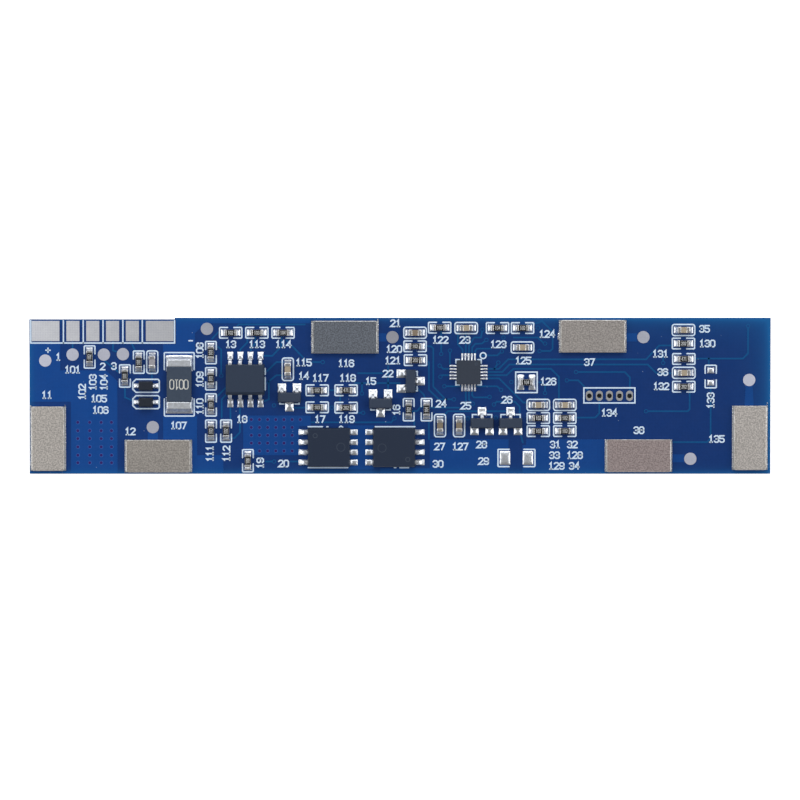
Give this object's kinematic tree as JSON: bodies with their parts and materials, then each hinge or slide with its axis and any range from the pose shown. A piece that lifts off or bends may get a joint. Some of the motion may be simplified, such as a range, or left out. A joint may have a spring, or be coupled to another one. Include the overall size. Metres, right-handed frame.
{
  "type": "battery management board",
  "caption": "Narrow circuit board that protects and balances a battery pack, with edge contacts, nickel cell tabs, power switches, a shunt and a controller.",
  "frame": {"origin": "centre of the board's underside", "axes": "+X along the board, +Y towards the edge with the contacts, +Z out of the component side"},
  "size_m": [0.0936, 0.0198, 0.0026],
  "materials": {
    "solder_mask": "satin blue solder mask over woven glass laminate",
    "bare_plating": "flat matt plated copper",
    "tinned_land": "tinned copper",
    "barrel_plating": "plated copper, dull",
    "solder": "bright reflowed solder",
    "nickel_tab": "grained nickel with bright rolled edges",
    "capacitor_ceramic": "fired ceramic, tan",
    "resistor_coat": "black glass coat",
    "shunt_coat": "dark epoxy coat",
    "moulded_epoxy": "dark moulded epoxy, fine matt grain"
  },
  "bodies": {
    "root": {"board": "solder_mask", "edge_contacts": "bare_plating", "test_lands": "bare_plating", "component_lands": "tinned_land", "barrel_plating": "barrel_plating", "solder_joints": "solder", "shunt": "shunt_coat", "thermistor": "resistor_coat", "sense_ic": "moulded_epoxy", "controller": "moulded_epoxy", "regulator": "moulded_epoxy", "dual_diode": "moulded_epoxy", "gate_resistors": "resistor_coat", "sense_resistors": "resistor_coat", "cell_tab_1": "nickel_tab", "cell_tab_2": "nickel_tab", "cell_tab_3": "nickel_tab", "cell_tab_4": "nickel_tab", "cell_tab_5": "nickel_tab", "cell_tab_6": "nickel_tab", "transistor_1": "moulded_epoxy", "transistor_2": "moulded_epoxy", "transistor_3": "moulded_epoxy", "discharge_mosfet": "moulded_epoxy", "charge_mosfet": "moulded_epoxy", "zener_diode_1": "moulded_epoxy", "zener_diode_2": "moulded_epoxy", "capacitor_1": "capacitor_ceramic", "capacitor_2": "capacitor_ceramic", "capacitor_3": "capacitor_ceramic", "capacitor_4": "capacitor_ceramic", "capacitor_5": "capacitor_ceramic", "capacitor_6": "capacitor_ceramic", "capacitor_7": "capacitor_ceramic", "capacitor_8": "capacitor_ceramic", "capacitor_9": "capacitor_ceramic", "capacitor_10": "capacitor_ceramic", "capacitor_11": "capacitor_ceramic", "resistor_1": "resistor_coat", "resistor_2": "resistor_coat", "resistor_3": "resistor_coat", "resistor_4": "resistor_coat", "resistor_5": "resistor_coat", "resistor_6": "resistor_coat", "resistor_7": "resistor_coat", "resistor_8": "resistor_coat", "resistor_9": "resistor_coat", "resistor_10": "resistor_coat", "resistor_11": "resistor_coat", "resistor_12": "resistor_coat", "resistor_13": "resistor_coat", "resistor_14": "resistor_coat", "resistor_15": "resistor_coat", "resistor_16": "resistor_coat", "resistor_17": "resistor_coat", "resistor_18": "resistor_coat", "resistor_19": "resistor_coat", "resistor_20": "resistor_coat", "resistor_21": "resistor_coat", "resistor_22": "resistor_coat"}
  },
  "joints": []
}
